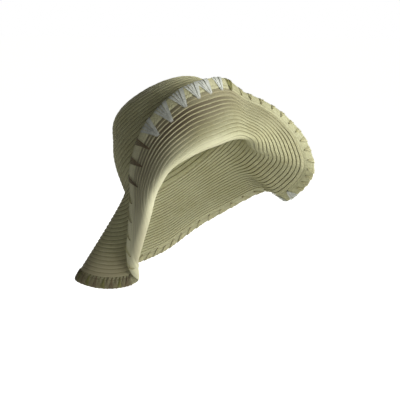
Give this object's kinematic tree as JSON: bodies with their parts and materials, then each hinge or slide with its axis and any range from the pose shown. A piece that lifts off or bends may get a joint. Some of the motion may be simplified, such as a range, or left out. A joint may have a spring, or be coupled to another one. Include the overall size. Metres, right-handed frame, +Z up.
{
  "type": "floppy hat",
  "caption": "Floppy sun hat of spiral-sewn straw braid, in its worn form: domed crown, wide soft brim turned up in front, folded at one side and hanging as a flap behind.",
  "frame": {"origin": "middle of the head line, where the crown meets the brim and the hat sits on a head", "axes": "+Z up, -Y the way the wearer looks, -X the wearer's right; the hat is tipped back as worn"},
  "size_m": [0.3148, 0.2766, 0.296],
  "materials": {
    "straw_braid": "natural cream paper straw, sewn braid rows with fine ridges, matt",
    "edge_straw": "flat tan straw plait, matt",
    "raffia_pale": "pale blue-white raffia ribbon, slight sheen",
    "raffia_brown": "brown and natural raffia ribbon, slight sheen"
  },
  "bodies": {
    "root": {"crown": "straw_braid", "brim": "straw_braid", "edge_band": "edge_straw"}
  },
  "joints": []
}
